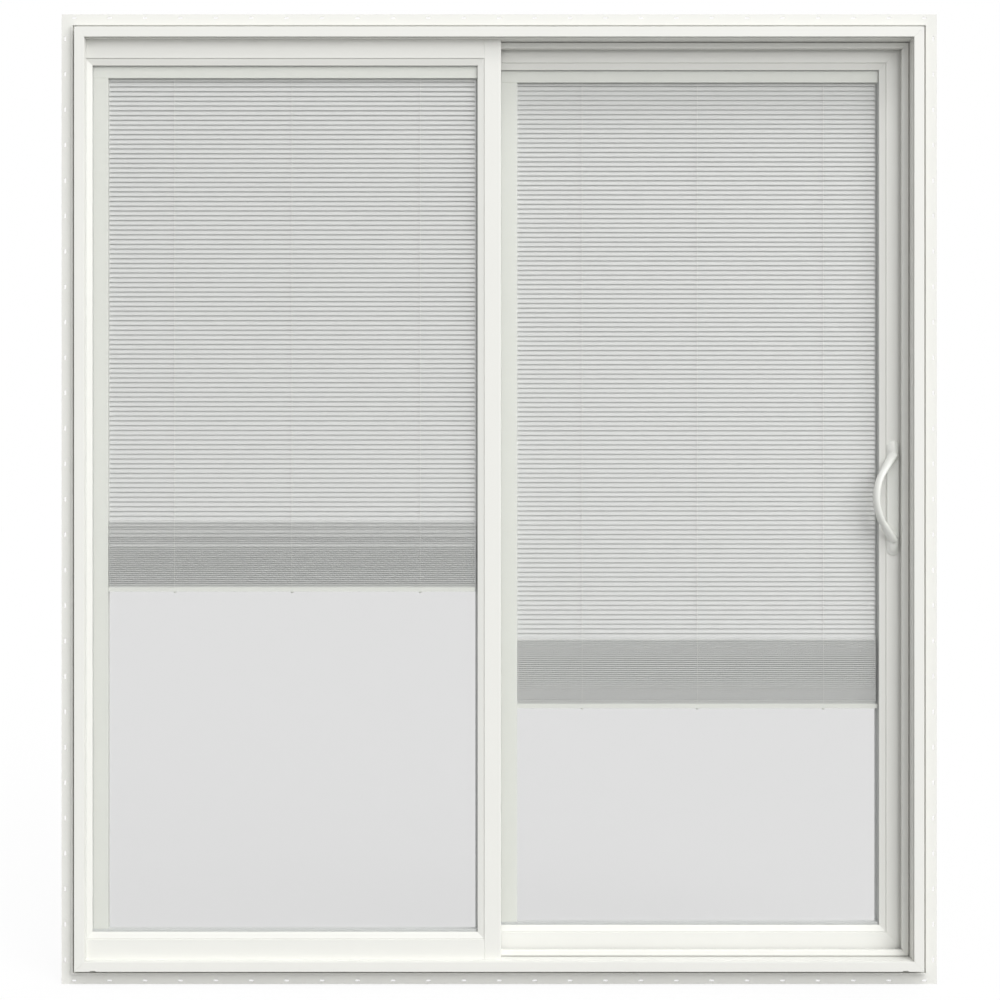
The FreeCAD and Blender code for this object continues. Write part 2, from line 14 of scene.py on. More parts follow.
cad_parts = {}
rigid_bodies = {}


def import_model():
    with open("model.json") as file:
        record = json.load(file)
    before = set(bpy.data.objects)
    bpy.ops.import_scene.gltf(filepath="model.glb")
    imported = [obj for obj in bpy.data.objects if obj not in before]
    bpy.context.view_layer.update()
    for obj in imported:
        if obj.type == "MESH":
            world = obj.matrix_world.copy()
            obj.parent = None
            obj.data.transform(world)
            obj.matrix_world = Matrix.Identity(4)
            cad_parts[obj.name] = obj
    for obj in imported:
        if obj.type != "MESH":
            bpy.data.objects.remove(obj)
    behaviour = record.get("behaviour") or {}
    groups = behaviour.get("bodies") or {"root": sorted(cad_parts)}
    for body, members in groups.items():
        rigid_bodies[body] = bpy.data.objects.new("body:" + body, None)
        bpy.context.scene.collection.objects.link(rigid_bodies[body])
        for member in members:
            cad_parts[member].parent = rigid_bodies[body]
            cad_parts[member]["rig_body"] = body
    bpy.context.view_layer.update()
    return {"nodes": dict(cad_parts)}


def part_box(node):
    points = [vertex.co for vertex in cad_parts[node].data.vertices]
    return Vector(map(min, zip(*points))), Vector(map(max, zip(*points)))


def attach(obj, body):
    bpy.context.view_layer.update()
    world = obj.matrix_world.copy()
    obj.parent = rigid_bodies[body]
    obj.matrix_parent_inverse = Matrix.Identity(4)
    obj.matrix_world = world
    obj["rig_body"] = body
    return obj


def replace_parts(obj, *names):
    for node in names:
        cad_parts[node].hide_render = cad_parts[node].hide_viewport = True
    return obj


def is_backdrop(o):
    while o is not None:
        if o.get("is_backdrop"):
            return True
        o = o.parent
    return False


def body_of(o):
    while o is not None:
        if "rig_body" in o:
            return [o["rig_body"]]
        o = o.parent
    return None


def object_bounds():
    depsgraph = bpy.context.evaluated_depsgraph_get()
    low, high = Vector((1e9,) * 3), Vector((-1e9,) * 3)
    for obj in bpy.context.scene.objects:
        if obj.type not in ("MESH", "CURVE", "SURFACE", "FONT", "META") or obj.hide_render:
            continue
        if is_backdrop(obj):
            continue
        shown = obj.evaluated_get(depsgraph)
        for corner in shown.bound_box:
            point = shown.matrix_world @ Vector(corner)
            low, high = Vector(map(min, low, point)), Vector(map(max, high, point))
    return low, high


bl_info = {
    "name": "Patio door dressing",
    "version": (1, 0, 0),
    "blender": (4, 5, 0),
    "location": "View3D > Sidebar > Patio Door",
    "description": "Finishes, blinds and hardware details for a sliding patio door",
    "category": "Object",
}

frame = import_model()
MM = 0.001
PANELS = {"fixed": "door_frame", "sliding": "sliding_panel"}
# Vertices closer than this are one, and edges that turn by more than this angle are sharp
WELD = 1e-6
SHARP = math.radians(35)


class PatioDoorSizes(bpy.types.PropertyGroup):
    """Sizes of the details that are finer than the door's main parts."""

    edge_round: bpy.props.FloatProperty(
        name="Vinyl edge", description="Rounding of the welded vinyl's edges",
        default=0.5 * MM, unit="LENGTH",
    )
    slat_width: bpy.props.FloatProperty(
        name="Slat width", description="Width of a blind slat, measured across its crown",
        default=12.5 * MM, unit="LENGTH",
    )
    slat_thickness: bpy.props.FloatProperty(
        name="Slat thickness", description="Thickness of the enamelled aluminium strip",
        default=0.25 * MM, unit="LENGTH",
    )
    slat_crown: bpy.props.FloatProperty(
        name="Slat crown", description="Angle that the slat's section bends through",
        default=math.radians(34), subtype="ANGLE",
    )
    slat_pitch: bpy.props.FloatProperty(
        name="Slat pitch", description="Distance from one open slat to the next",
        default=10.29 * MM, unit="LENGTH",
    )
    slat_tilt: bpy.props.FloatProperty(
        name="Slat tilt", description="How far the open slats are turned from level, outer edge down",
        default=math.radians(66), subtype="ANGLE",
    )
    fixed_leaf_tilt: bpy.props.FloatProperty(
        name="Stack tilt, fixed panel", description="How far the gathered slats are turned from level",
        default=math.radians(0), subtype="ANGLE",
    )
    sliding_leaf_tilt: bpy.props.FloatProperty(
        name="Stack tilt, sliding panel", description="How far the gathered slats are turned from level",
        default=math.radians(6), subtype="ANGLE",
    )
    fixed_leaf_pitch: bpy.props.FloatProperty(
        name="Leaf pitch, fixed panel", description="Distance between the leaves of nested slats",
        default=4.32 * MM, unit="LENGTH",
    )
    sliding_leaf_pitch: bpy.props.FloatProperty(
        name="Leaf pitch, sliding panel", description="Distance between the leaves of nested slats",
        default=4.26 * MM, unit="LENGTH",
    )
    fixed_open_slats: bpy.props.IntProperty(
        name="Open slats, fixed panel", description="Slats hanging free above the stack", default=93,
    )
    sliding_open_slats: bpy.props.IntProperty(
        name="Open slats, sliding panel", description="Slats hanging free above the stack", default=118,
    )
    nest_pitch: bpy.props.FloatProperty(
        name="Nest pitch", description="Distance between the nested slats of one leaf",
        default=0.26 * MM, unit="LENGTH",
    )
    guide_width: bpy.props.FloatProperty(
        name="Side guide", description="Width of the strip behind the free ends of the slats",
        default=5.0 * MM, unit="LENGTH",
    )
    slat_play: bpy.props.FloatProperty(
        name="Slat play", description="How far a gathered slat may sit to one side",
        default=0.4 * MM, unit="LENGTH",
    )
    cord_radius: bpy.props.FloatProperty(
        name="Ladder cord", description="Radius of the cords that carry the slats",
        default=0.45 * MM, unit="LENGTH",
    )


class PatioDoorColours(bpy.types.PropertyGroup):
    """Colours of the finishes, as sRGB hex."""

    vinyl: bpy.props.StringProperty(
        name="Vinyl", description="Extruded white vinyl", default="E7E7E2",
    )
    fin: bpy.props.StringProperty(
        name="Nailing fin", description="Thin white vinyl of the fin", default="E6E6E1",
    )
    slat: bpy.props.StringProperty(
        name="Slats", description="Baked enamel of the slats", default="DEDFDD",
    )
    blind_trim: bpy.props.StringProperty(
        name="Blind trim", description="Headrail, side channel and bottom rail", default="EBEDE6",
    )
    spacer: bpy.props.StringProperty(
        name="Spacer", description="Bar between the panes", default="D6D8D6",
    )
    handle: bpy.props.StringProperty(
        name="Handles", description="Powder coat of the pulls", default="E6E7E2",
    )
    outer_glass: bpy.props.StringProperty(
        name="Outer pane", description="What one face of the clear pane lets through", default="FBFBFB",
    )
    inner_glass: bpy.props.StringProperty(
        name="Inner pane", description="What one face of the coated pane lets through", default="F6F6F6",
    )


class PatioDoorStage(bpy.types.PropertyGroup):
    """The camera and the soft studio light."""

    camera_distance: bpy.props.FloatProperty(
        name="Camera distance", description="From the frame's face to the camera",
        default=4.009, unit="LENGTH",
    )
    camera_lens: bpy.props.FloatProperty(
        name="Lens", description="Focal length on a 36 mm sensor", default=67.6, unit="CAMERA",
    )
    key_strength: bpy.props.FloatProperty(
        name="Key light", description="Wide soft light from in front, to the right of the camera",
        default=1.7,
    )
    top_strength: bpy.props.FloatProperty(
        name="Top light", description="Smaller soft light from high above the camera", default=0.9,
    )
    back_strength: bpy.props.FloatProperty(
        name="Back light", description="Soft light from behind the door, to the right", default=0.6,
    )
    room_strength: bpy.props.FloatProperty(
        name="Room light", description="Even light from all round", default=0.6,
    )
    floor_bounce: bpy.props.FloatProperty(
        name="Floor bounce", description="Share of the light that the floor throws back up", default=0.42,
    )


# Materials


def linear(code):
    """Linear colour from an sRGB hex code."""
    parts = [int(code[i:i + 2], 16) / 255 for i in (0, 2, 4)]
    return [c / 12.92 if c <= 0.04045 else ((c + 0.055) / 1.055) ** 2.4 for c in parts] + [1.0]


def add(tree, kind, settings=None, links=None):
    """A node with its settings and links. A setting names an attribute or, with a leading dot, an input."""
    node = tree.nodes.new(kind)
    for key, value in (settings or {}).items():
        if key.startswith("."):
            node.inputs[key[1:]].default_value = value
        else:
            setattr(node, key, value)
    for key, source in (links or {}).items():
        tree.links.new(source, node.inputs[key])
    return node


def blank(name):
    """A material whose tree has only its output."""
    material = bpy.data.materials.new(name)
    material.use_nodes = True
    tree = material.node_tree
    tree.nodes.clear()
    return material, tree, tree.nodes.new("ShaderNodeOutputMaterial")


def blend(tree, share, first, second):
    """A colour between two, by the share of the second."""
    node = add(tree, "ShaderNodeMix", {"data_type": "RGBA"}, {"Factor": share})
    node.inputs[6].default_value = first
    node.inputs[7].default_value = second
    return node.outputs[2]


def extruded_vinyl(name, colour, roughness, along):
    """Rigid vinyl drawn through a die: a satin skin with faint draw lines along the bar and a slow
    waviness across it, so that highlights on a long rail are never quite straight."""
    material, tree, output = blank(name)
    place = add(tree, "ShaderNodeTexCoord").outputs["Object"]
    # Draw lines stand 2.5 mm apart, coarser than the real 0.3 mm so that they show, and run 1.25 m
    across, lengthwise = 1 / (2.5 * MM), 1 / 1.25
    stretch = {"X": (lengthwise, across, across), "Z": (across, across, lengthwise)}[along]
    lines = add(tree, "ShaderNodeMapping", {".Scale": stretch}, {"Vector": place})
    drawn = add(tree, "ShaderNodeTexNoise", {".Scale": 1.0, ".Detail": 2.0}, {"Vector": lines.outputs[0]})
    # Waviness over about 180 mm, from cooling
    wave = add(tree, "ShaderNodeTexNoise", {".Scale": 5.5, ".Detail": 1.0}, {"Vector": place})
    low = add(tree, "ShaderNodeBump", {".Strength": 0.05, ".Distance": 0.002}, {"Height": wave.outputs[0]})
    bump = add(
        tree, "ShaderNodeBump", {".Strength": 0.08, ".Distance": 0.00015},
        {"Height": drawn.outputs[0], "Normal": low.outputs[0]},
    )
    rough = add(
        tree, "ShaderNodeMapRange", {".To Min": roughness - 0.05, ".To Max": roughness + 0.06},
        {"Value": drawn.outputs[0]},
    )
    # The waves are up to 2.5% darker
    base = linear(colour)
    shade = [c * 0.975 for c in base[:3]] + [1.0]
    tone = blend(tree, wave.outputs[0], base, shade)
    vinyl = add(
        tree, "ShaderNodeBsdfPrincipled", {".IOR": 1.53},
        {"Base Color": tone, "Roughness": rough.outputs[0], "Normal": bump.outputs[0]},
    )
    tree.links.new(vinyl.outputs[0], output.inputs["Surface"])
    return material


def coated(name, colour, roughness, grain_mm, bump_strength, metallic=0.0, ior=1.5):
    """A coated, moulded or plated surface with a fine grain of the given size."""
    material, tree, output = blank(name)
    place = add(tree, "ShaderNodeTexCoord").outputs["Object"]
    grain = add(
        tree, "ShaderNodeTexNoise", {".Scale": 1000 / grain_mm, ".Detail": 2.0}, {"Vector": place},
    )
    bump = add(
        tree, "ShaderNodeBump", {".Strength": bump_strength, ".Distance": 0.0001},
        {"Height": grain.outputs[0]},
    )
    rough = add(
        tree, "ShaderNodeMapRange", {".To Min": roughness - 0.06, ".To Max": roughness + 0.08},
        {"Value": grain.outputs[0]},
    )
    skin = add(
        tree, "ShaderNodeBsdfPrincipled",
        {".Base Color": linear(colour), ".Metallic": metallic, ".IOR": ior},
        {"Roughness": rough.outputs[0], "Normal": bump.outputs[0]},
    )
    tree.links.new(skin.outputs[0], output.inputs["Surface"])
    return material


def float_glass(name, colour):
    """Clear float glass, flat enough that it bends nothing: each face passes its tint and mirrors 4% of
    a ray that meets it head on, and more the flatter the ray comes."""
    material, tree, output = blank(name)
    facing = add(tree, "ShaderNodeLayerWeight", {".Blend": 0.5}).outputs["Facing"]
    steep = add(tree, "ShaderNodeMath", {"operation": "POWER"}, {0: facing})
    steep.inputs[1].default_value = 5.0
    share = add(tree, "ShaderNodeMapRange", {".To Min": 0.04, ".To Max": 1.0}, {"Value": steep.outputs[0]})
    clear = add(tree, "ShaderNodeBsdfTransparent", {".Color": linear(colour)})
    mirror = add(tree, "ShaderNodeBsdfGlossy", {".Roughness": 0.0, ".Color": (1, 1, 1, 1)})
    mix = add(
        tree, "ShaderNodeMixShader", {},
        {0: share.outputs[0], 1: clear.outputs[0], 2: mirror.outputs[0]},
    )
    tree.links.new(mix.outputs[0], output.inputs["Surface"])
    return material


def finishes():
    """Every finish of the door, made once, by the name of its material slot."""
    if not hasattr(finishes, "made"):
        colours = bpy.context.scene.patio_door_colours
        finishes.made = {
            "vinyl_x": extruded_vinyl("Extruded white vinyl, level bar", colours.vinyl, 0.40, "X"),
            "vinyl_z": extruded_vinyl("Extruded white vinyl, upright bar", colours.vinyl, 0.40, "Z"),
            "bead_vinyl": extruded_vinyl("Extruded vinyl glazing bead", colours.vinyl, 0.36, "Z"),
            "fin_x": extruded_vinyl("Extruded vinyl fin, level", colours.fin, 0.52, "X"),
            "fin_z": extruded_vinyl("Extruded vinyl fin, upright", colours.fin, 0.52, "Z"),
            # Enamel baked on rolled aluminium strip: even, satin, with a faint orange peel
            "slat_enamel": coated("Baked enamel on aluminium strip", colours.slat, 0.38, 3.0, 0.05),
            "blind_trim": coated("Satin enamel on blind trim", colours.blind_trim, 0.45, 2.0, 0.08),
            # Powder coat: an orange peel about 1.5 mm across under a soft gloss
            "handle_enamel": coated("Powder-coated zinc casting", colours.handle, 0.34, 1.5, 0.12),
            # Drawn aluminium, not anodised: dull streaks
            "track_aluminium": coated("Mill-finish aluminium", "C6C8C9", 0.36, 1.0, 0.10, metallic=1.0),
            "lock_steel": coated("Zinc-plated steel", "B9BBBC", 0.32, 2.0, 0.10, metallic=1.0),
            "spacer_bar": coated("Painted steel spacer", colours.spacer, 0.45, 1.5, 0.05),
            "wheel_nylon": coated("Moulded nylon", "DAD7CC", 0.45, 1.0, 0.10),
            "stop_rubber": coated("Moulded black rubber", "262626", 0.70, 1.0, 0.20),
            "ladder_cord": coated("Braided polyester cord", "F0F0EC", 0.80, 0.5, 0.30),
            "outer_glass": float_glass("Clear float glass", colours.outer_glass),
            # A low-emissivity coat takes a little more of the light
            "inner_glass": float_glass("Coated float glass", colours.inner_glass),
        }
    return finishes.made


# Shapes


def piece(name, shape, material, body, smooth=False, angle=40):
    """An object from a bmesh, riding on its body."""
    mesh = bpy.data.meshes.new(name)
    shape.to_mesh(mesh)
    shape.free()
    mesh.materials.append(material)
    for face in mesh.polygons:
        face.use_smooth = smooth
        face.material_index = 0
    if smooth:
        mesh.set_sharp_from_angle(angle=math.radians(angle))
    made = bpy.data.objects.new(name, mesh)
    bpy.context.scene.collection.objects.link(made)
    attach(made, body)
    return made


def merged(node):
    """A copy of a CAD node's mesh as a closed bmesh with its flat faces whole."""
    shape = bmesh.new()
    shape.from_mesh(frame["nodes"][node].data)
    bmesh.ops.remove_doubles(shape, verts=shape.verts, dist=WELD)
    bmesh.ops.dissolve_limit(
        shape, angle_limit=math.radians(0.5), verts=shape.verts, edges=shape.edges,
    )
    return shape


def round_edges(shape, width, segments):
    """Rounds every sharp edge of a bmesh."""
    sharp = [e for e in shape.edges if len(e.link_faces) == 2 and e.calc_face_angle(0) > SHARP]
    bmesh.ops.bevel(
        shape, geom=sharp, offset=width, offset_type="OFFSET", segments=segments, profile=0.5,
        affect="EDGES", clamp_overlap=True, material=-1,
    )


def soften(node, width, material, segments=2):
    """The node again with its sharp edges rounded, standing for it."""
    shape = merged(node)
    round_edges(shape, width, segments)
    made = piece(f"{node}.rounded", shape, material, body_of(frame["nodes"][node])[0])
    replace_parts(made, node)
    return made


def paint(node, material):
    """Gives a CAD node its finish."""
    for place in frame["nodes"][node].material_slots:
        place.material = material


class PATIO_DOOR_OT_vinyl(bpy.types.Operator):
    """Round the edges of the welded vinyl, so that each mitre shows as a fine groove"""

    bl_idname = "patio_door.vinyl"
    bl_label = "Frame, rails and stiles"

    level = (
        "frame_head", "frame_sill", "head_pocket_cover", "sill_pocket_cover", "fixed_top_rail",
        "fixed_bottom_rail", "sliding_top_rail", "sliding_bottom_rail",
    )
    upright = (
        "frame_left_jamb", "frame_right_jamb", "jamb_pocket_cover", "fixed_side_stile",
        "fixed_meeting_stile", "sliding_meeting_stile", "sliding_lock_stile",
    )

    def execute(self, context):
        made = finishes()
        width = context.scene.patio_door_sizes.edge_round
        for nodes, finish in ((self.level, "vinyl_x"), (self.upright, "vinyl_z")):
            for node in nodes:
                soften(node, width, made[finish])
        for side, finish in (("top", "fin_x"), ("bottom", "fin_x"), ("left", "fin_z"), ("right", "fin_z")):
            paint(f"nail_fin_{side}", made[finish])
        return {"FINISHED"}


class PATIO_DOOR_OT_glazing(bpy.types.Operator):
    """Finish the panes, the beads and the spacers of both panels"""

    bl_idname = "patio_door.glazing"
    bl_label = "Glass and beads"

    edge_round = 0.4 * MM
    guide_thickness = 2 * MM

    def execute(self, context):
        made = finishes()
        for prefix in PANELS:
            self.beads(prefix, made["bead_vinyl"])
            paint(f"{prefix}_outer_glass", made["outer_glass"])
            paint(f"{prefix}_inner_glass", made["inner_glass"])
            self.spacer(context.scene.patio_door_sizes, prefix, made["spacer_bar"])
        return {"FINISHED"}

    def spacer(self, sizes, prefix, material):
        """The spacer, set back beside the slats to a thin guide strip that stands on the inner pane."""
        node = f"{prefix}_glass_spacer"
        shape = merged(node)
        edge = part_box(f"{prefix}_blind_headrail")[1].x
        # The spacer reaches in past the headrail's end by no more than this
        reach = 1.1 * sizes.guide_width
        for vert in shape.verts:
            if edge - reach < vert.co.x < edge:
                vert.co.x = edge
        bmesh.ops.remove_doubles(shape, verts=shape.verts, dist=WELD)
        round_edges(shape, self.edge_round, 2)
        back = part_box(node)[1].y
        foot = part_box(f"{prefix}_blind_channel")[0].z
        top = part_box(f"{prefix}_blind_headrail")[0].z
        strip = bmesh.ops.create_cube(shape, size=1)["verts"]
        thickness = self.guide_thickness
        bmesh.ops.scale(shape, verts=strip, vec=(sizes.guide_width, thickness, top - foot))
        at = Vector((edge - sizes.guide_width / 2, back - thickness / 2, (top + foot) / 2))
        bmesh.ops.translate(shape, verts=strip, vec=at)
        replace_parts(piece(f"{node}.guided", shape, material, PANELS[prefix]), node)

    def beads(self, prefix, material):
        """The bead as four bars, each mitred and rounded, so that fine lines show at the corners."""
        node = f"{prefix}_glazing_bead"
        low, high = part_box(node)
        places = ((low.x, low.z), (high.x, low.z), (high.x, high.z), (low.x, high.z))
        corners = [Vector((x, low.y, z)) for x, z in places]
        centre = (corners[0] + corners[2]) / 2
        whole = bmesh.new()
        for side in range(4):
            bar = merged(node)
            middle = (corners[side] + corners[side - 3]) / 2
            planes = [(centre, middle - centre)]
            for corner in (corners[side], corners[side - 3]):
                inward = Vector((-1 if corner.x > low.x else 1, 0, -1 if corner.z > low.z else 1))
                across = Vector((inward.z, 0, -inward.x))
                if across.dot(middle - corner) < 0:
                    across.negate()
                planes.append((corner, across))
            for point, normal in planes:
                cut = bmesh.ops.bisect_plane(
                    bar, geom=bar.verts[:] + bar.edges[:] + bar.faces[:], plane_co=point, plane_no=normal,
                    clear_inner=True,
                )
                rim = [e for e in cut["geom_cut"] if isinstance(e, bmesh.types.BMEdge)]
                bmesh.ops.holes_fill(bar, edges=rim)
            bmesh.ops.recalc_face_normals(bar, faces=bar.faces)
            round_edges(bar, self.edge_round, 2)
            part = bpy.data.meshes.new("bead_bar")
            bar.to_mesh(part)
            bar.free()
            whole.from_mesh(part)
            bpy.data.meshes.remove(part)
        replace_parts(piece(f"{prefix}_mitred_bead", whole, material, PANELS[prefix]), node)


def slat_section(sizes, span):
    """One crowned slat, level, with its ridge along X through the origin."""
    shape = bmesh.new()
    half = sizes.slat_crown / 2
    radius = sizes.slat_width / 2 / math.sin(half)
    start = shape.verts.new((-span / 2, -sizes.slat_width / 2, -radius * (1 - math.cos(half))))
    bmesh.ops.spin(
        shape, geom=[start], cent=(-span / 2, 0, -radius), axis=(1, 0, 0), angle=-2 * half,
        steps=4, use_merge=False,
    )
    edges = list(shape.edges)
    grown = bmesh.ops.extrude_edge_only(shape, edges=edges)["geom"]
    moved = [v for v in grown if isinstance(v, bmesh.types.BMVert)]
    bmesh.ops.translate(shape, verts=moved, vec=(span, 0, 0))
    bmesh.ops.recalc_face_normals(shape, faces=shape.faces)
    bmesh.ops.solidify(shape, geom=list(shape.faces), thickness=sizes.slat_thickness)
    bmesh.ops.recalc_face_normals(shape, faces=shape.faces)
    return shape


def put_slats(sizes, span, places):
    """Copies of one slat at (centre, tilt) places, in one bmesh."""
    master = slat_section(sizes, span)
    whole = bmesh.new()
    pattern = bpy.data.meshes.new("slat_pattern")
    master.to_mesh(pattern)
    master.free()
    for centre, tilt in places:
        start = len(whole.verts)
        whole.from_mesh(pattern)
        whole.verts.ensure_lookup_table()
        fresh = whole.verts[start:]
        matrix = Matrix.Translation(centre) @ Matrix.Rotation(tilt, 4, "X")
        bmesh.ops.transform(whole, matrix=matrix, verts=fresh)
    bpy.data.meshes.remove(pattern)
    return whole


class PATIO_DOOR_OT_blinds(bpy.types.Operator):
    """Hang the crowned slats, open and stacked, on their ladder cords"""

    bl_idname = "patio_door.blinds"
    bl_label = "Blinds"

    # The gathered slats lie in leaves of a few nested slats. Places are counted in leaf pitches from the
    # lowest leaf up. In the fixed panel the upper leaves hang apart in small groups
    leaves = {
        "fixed": (*range(19), 18.9, 21, 22, 23, 23.9, 25.9, 28, 29, 30.9),
        "sliding": range(32),
    }
    nested = {"fixed": 8, "sliding": 10}
    # How far a gathered slat may be turned and pushed out of line
    stack_turn = math.radians(1)
    stack_push = 0.2 * MM
    # From the stack's foot to the lowest leaf
    foot = 7.0 * MM
    core_thickness = 2 * MM
    # How far the core reaches up behind the lowest open slat
    core_lap = 4 * MM
    # Where the ladders hang, as shares of the blind's width
    lift_points = (0.18, 0.5, 0.85)
    # A ladder widens from this far above the stack's top to this far below it
    widens_above = 12 * MM
    widens_below = 8 * MM
    trim_round = 0.8 * MM
    rail_round = 1.2 * MM

    def execute(self, context):
        made = finishes()
        sizes = context.scene.patio_door_sizes
        for prefix, body in PANELS.items():
            low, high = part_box(f"{prefix}_blind_slats")
            middle = (low.y + high.y) / 2
            count = getattr(sizes, f"{prefix}_open_slats")
            half_rise = sizes.slat_width / 2 * math.sin(sizes.slat_tilt)
            first = high.z - half_rise
            stack_top = first - (count - 1) * sizes.slat_pitch - half_rise
            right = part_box(f"{prefix}_blind_headrail")[1].x - sizes.guide_width
            span = min(high.x, right) - low.x - 2 * sizes.slat_play
            centre_x = low.x + sizes.slat_play + span / 2
            places = [
                (Vector((centre_x, middle, first - k * sizes.slat_pitch)), sizes.slat_tilt)
                for k in range(count)
            ]
            places += self.stacked(sizes, prefix, centre_x, middle, low.z)
            slats = put_slats(sizes, span, places)
            self.core(slats, sizes, centre_x, span, middle, low.z, stack_top)
            shown = piece(f"{prefix}_crowned_slats", slats, made["slat_enamel"], body, True)
            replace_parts(shown, f"{prefix}_blind_slats")
            self.cords(sizes, prefix, body, low, high, middle, stack_top)
            trim = made["blind_trim"]
            soften(f"{prefix}_blind_headrail", self.trim_round, trim)
            soften(f"{prefix}_blind_channel", self.trim_round, trim)
            soften(f"{prefix}_blind_bottom_rail", self.rail_round, trim, 3)
        return {"FINISHED"}

    def stacked(self, sizes, prefix, x, y, bottom):
        """The gathered slats, leaf by leaf from the bottom rail up."""
        spread = random.Random(prefix)
        tilt = getattr(sizes, f"{prefix}_leaf_tilt")
        pitch = getattr(sizes, f"{prefix}_leaf_pitch")
        places = []
        for leaf in self.leaves[prefix]:
            for k in range(self.nested[prefix]):
                edge = bottom + self.foot + leaf * pitch + k * sizes.nest_pitch
                turned = tilt + spread.uniform(-1, 1) * self.stack_turn
                aside = spread.uniform(-1, 1) * sizes.slat_play
                push = spread.uniform(-1, 1) * self.stack_push
                centre = Vector((x + aside, y + push, edge + sizes.slat_width / 2 * math.sin(turned)))
                places.append((centre, turned))
        return places

    def core(self, shape, sizes, x, span, y, bottom, stack_top):
        """The middle of the stack, where the nested slats lie so close that nothing shows through."""
        height = stack_top + self.core_lap - bottom
        sheet = bmesh.ops.create_cube(shape, size=1)["verts"]
        size = (span - 2 * sizes.slat_play, self.core_thickness, height)
        bmesh.ops.scale(shape, verts=sheet, vec=size)
        bmesh.ops.translate(shape, verts=sheet, vec=(x, y, bottom + height / 2))

    def cords(self, sizes, prefix, body, low, high, middle, stack_top):
        """The ladder's front and back cords at the three lift points."""
        shape = bmesh.new()
        open_reach = sizes.slat_width / 2 * math.cos(sizes.slat_tilt) + 2 * sizes.cord_radius
        stack_reach = sizes.slat_width / 2 + 2 * sizes.cord_radius
        for share in self.lift_points:
            x = low.x + share * (high.x - low.x)
            for sign in (-1, 1):
                stops = (
                    (open_reach, high.z),
                    (open_reach, stack_top + self.widens_above),
                    (stack_reach, stack_top - self.widens_below),
                    (stack_reach, low.z),
                )
                ring = bmesh.ops.create_circle(shape, cap_ends=True, radius=sizes.cord_radius, segments=6)
                at = Vector((x, middle + sign * stops[0][0], stops[0][1]))
                bmesh.ops.translate(shape, verts=ring["verts"], vec=at)
                face = ring["verts"][0].link_faces[0]
                for reach, z in stops[1:]:
                    grown = bmesh.ops.extrude_face_region(shape, geom=[face])["geom"]
                    face = next(f for f in grown if isinstance(f, bmesh.types.BMFace))
                    there = Vector((x, middle + sign * reach, z))
                    bmesh.ops.translate(shape, verts=face.verts, vec=there - face.calc_center_median())
        bmesh.ops.recalc_face_normals(shape, faces=shape.faces)
        piece(f"{prefix}_ladder_cords", shape, finishes()["ladder_cord"], body, True)


class PATIO_DOOR_OT_handles(bpy.types.Operator):
    """Blend each pull's plate, bosses and bow into one casting"""

    bl_idname = "patio_door.handles"
    bl_label = "Pull handles"

    # The casting is rebuilt from cells of this size, and its surface smoothed this many times
    cell = 0.8 * MM
    smoothings = 4
    turn_round = 0.4 * MM

    def execute(self, context):
        made = finishes()
        coat = made["handle_enamel"]
        for node in ("outer_pull_handle", "inner_pull_handle"):
            source = piece(f"{node}_rough", merged(node), coat, "sliding_panel")
            remesh = source.modifiers.new("Cast", "REMESH")
            remesh.mode = "VOXEL"
            remesh.voxel_size = self.cell
            context.view_layer.update()
            solid = source.evaluated_get(context.evaluated_depsgraph_get())
            shape = bmesh.new()
            shape.from_mesh(solid.to_mesh())
            solid.to_mesh_clear()
            bpy.data.objects.remove(source)
            for _ in range(self.smoothings):
                bmesh.ops.smooth_vert(
                    shape, verts=shape.verts, factor=0.5, use_axis_x=True, use_axis_y=True, use_axis_z=True,
                )
            shown = piece(f"{node}.cast", shape, coat, "sliding_panel", True, 80)
            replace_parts(shown, node)
        soften("lock_thumb_turn", self.turn_round, coat)
        return {"FINISHED"}


class PATIO_DOOR_OT_hardware(bpy.types.Operator):
    """Finish the track, rollers, lock and bumper"""

    bl_idname = "patio_door.hardware"
    bl_label = "Track, rollers and lock"

    # Each node with its rounding and finish
    parts = (
        ("sill_track", 0.3 * MM, "track_aluminium"),
        ("lock_keeper", 0.3 * MM, "lock_steel"),
        ("lock_faceplate", 0.3 * MM, "lock_steel"),
        ("roller_trucks", 0.3 * MM, "lock_steel"),
        ("roller_wheels", 0.4 * MM, "wheel_nylon"),
        ("panel_stop", 1.0 * MM, "stop_rubber"),
    )

    def execute(self, context):
        made = finishes()
        for node, width, finish in self.parts:
            soften(node, width, made[finish])
        return {"FINISHED"}


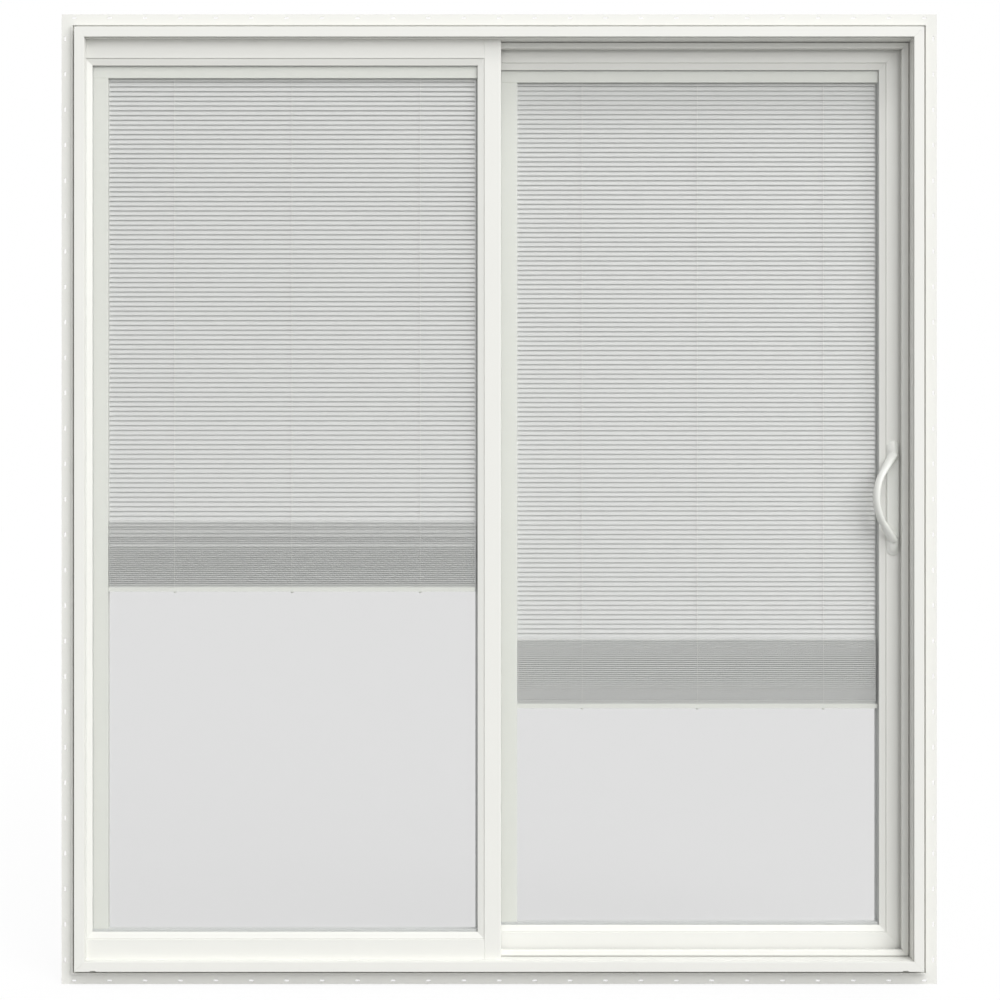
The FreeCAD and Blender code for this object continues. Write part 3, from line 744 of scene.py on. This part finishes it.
class PATIO_DOOR_OT_stage(bpy.types.Operator):
    """Lay the pale floor, set the soft studio light and place the camera in front of the door"""

    bl_idname = "patio_door.stage"
    bl_label = "Floor, light and camera"

    # Each light: apparent width, height above level and turn to the right, in degrees. The panes mirror
    # what stands right behind the camera, so the key light is turned away from there
    lights = (("Key", 44, 24, 32), ("Top", 20, 62, 20), ("Back", 40, 30, 150))
    floor_size = 60
    # The camera stands this far to the right of the frame's middle, and as far below it
    aside = 1.7 * MM
    # With the panel slid open, a ray crosses eight faces of glass on its way in and as many on its way
    # out, and more where it is mirrored on the way
    glass_faces = 40

    def execute(self, context):
        scene = context.scene
        settings = scene.patio_door_stage
        self.floor(scene, settings)
        self.room(scene, settings)
        for name, width, height, turn in self.lights:
            light = bpy.data.lights.new(name, "SUN")
            light.energy = getattr(settings, f"{name.lower()}_strength")
            light.angle = math.radians(width)
            lamp = bpy.data.objects.new(name, light)
            lamp.rotation_euler = (math.radians(90 - height), 0, math.radians(turn))
            scene.collection.objects.link(lamp)
        self.camera(scene, settings)
        scene.view_settings.view_transform = "Standard"
        scene.cycles.transparent_max_bounces = self.glass_faces
        return {"FINISHED"}

    def floor(self, scene, settings):
        """The floor under the fin's lower edge."""
        shape = bmesh.new()
        bmesh.ops.create_grid(shape, x_segments=1, y_segments=1, size=self.floor_size)
        bmesh.ops.translate(shape, verts=shape.verts, vec=(0, 0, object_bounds()[0].z))
        mesh = bpy.data.meshes.new("studio_floor")
        shape.to_mesh(mesh)
        shape.free()
        floor = bpy.data.objects.new("studio_floor", mesh)
        scene.collection.objects.link(floor)
        mesh.materials.append(self.paper(settings.floor_bounce))
        floor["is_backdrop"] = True

    def room(self, scene, settings):
        """Even light from all round, in a room that the camera sees white."""
        world = bpy.data.worlds.new("Studio")
        scene.world = world
        world.use_nodes = True
        tree = world.node_tree
        tree.nodes.clear()
        output = tree.nodes.new("ShaderNodeOutputWorld")
        seen = add(tree, "ShaderNodeBackground", {".Color": (1, 1, 1, 1), ".Strength": 1.0})
        strength = settings.room_strength
        room = add(tree, "ShaderNodeBackground", {".Color": (1, 1, 1, 1), ".Strength": strength})
        ray = add(tree, "ShaderNodeLightPath").outputs["Is Camera Ray"]
        mix = add(tree, "ShaderNodeMixShader", {}, {0: ray, 1: room.outputs[0], 2: seen.outputs[0]})
        tree.links.new(mix.outputs[0], output.inputs["Surface"])

    def camera(self, scene, settings):
        """The camera, level and square to the frame's face."""
        camera = bpy.data.cameras.new("Camera")
        camera.sensor_width = 36
        camera.lens = settings.camera_lens
        camera.clip_start = 0.05
        camera.clip_end = 200
        stand = bpy.data.objects.new("Camera", camera)
        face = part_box("frame_head")[0].y
        middle = (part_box("frame_left_jamb")[0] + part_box("frame_right_jamb")[1]) / 2
        distance = settings.camera_distance
        stand.location = (middle.x + self.aside, face - distance, middle.z - self.aside)
        stand.rotation_euler = (math.radians(90), 0, 0)
        scene.collection.objects.link(stand)
        scene.camera = stand

    def paper(self, bounce):
        """Matt pale floor paper, seen white so that it fades into the room."""
        material, tree, output = blank("White studio paper")
        ray = add(tree, "ShaderNodeLightPath").outputs["Is Camera Ray"]
        seen = (0.86, 0.86, 0.86, 1)
        tone = blend(tree, ray, (bounce, bounce, bounce, 1), seen)
        matt = add(tree, "ShaderNodeBsdfDiffuse", {}, {"Color": tone})
        glow = add(tree, "ShaderNodeEmission", {".Color": (1, 1, 1, 1), ".Strength": 1.0})
        # Seen straight, the paper is nine tenths plain white, so that only faint shadows show on it
        share = add(tree, "ShaderNodeMath", {"operation": "MULTIPLY"}, {0: ray})
        share.inputs[1].default_value = 0.9
        mix = add(
            tree, "ShaderNodeMixShader", {}, {0: share.outputs[0], 1: matt.outputs[0], 2: glow.outputs[0]},
        )
        tree.links.new(mix.outputs[0], output.inputs["Surface"])
        return material


class PATIO_DOOR_PT_panel(bpy.types.Panel):
    """Lists the door's pieces in the 3D view's sidebar"""

    bl_idname = "PATIO_DOOR_PT_panel"
    bl_label = "Patio Door"
    bl_space_type = "VIEW_3D"
    bl_region_type = "UI"
    bl_category = "Patio Door"

    def draw(self, context):
        for operator in OPERATORS:
            self.layout.operator(operator.bl_idname)
        for group in (
            context.scene.patio_door_sizes, context.scene.patio_door_colours, context.scene.patio_door_stage,
        ):
            for name in group.__annotations__:
                self.layout.prop(group, name)


OPERATORS = (
    PATIO_DOOR_OT_vinyl,
    PATIO_DOOR_OT_glazing,
    PATIO_DOOR_OT_blinds,
    PATIO_DOOR_OT_handles,
    PATIO_DOOR_OT_hardware,
    PATIO_DOOR_OT_stage,
)
CLASSES = (PatioDoorSizes, PatioDoorColours, PatioDoorStage, *OPERATORS, PATIO_DOOR_PT_panel)


def register():
    for kind in CLASSES:
        bpy.utils.register_class(kind)
    bpy.types.Scene.patio_door_sizes = bpy.props.PointerProperty(type=PatioDoorSizes)
    bpy.types.Scene.patio_door_colours = bpy.props.PointerProperty(type=PatioDoorColours)
    bpy.types.Scene.patio_door_stage = bpy.props.PointerProperty(type=PatioDoorStage)


def unregister():
    del bpy.types.Scene.patio_door_stage
    del bpy.types.Scene.patio_door_colours
    del bpy.types.Scene.patio_door_sizes
    for kind in reversed(CLASSES):
        bpy.utils.unregister_class(kind)


def main():
    register()
    bpy.ops.patio_door.vinyl()
    bpy.ops.patio_door.glazing()
    bpy.ops.patio_door.blinds()
    bpy.ops.patio_door.handles()
    bpy.ops.patio_door.hardware()
    bpy.ops.patio_door.stage()


if __name__ == "__main__":
    main()
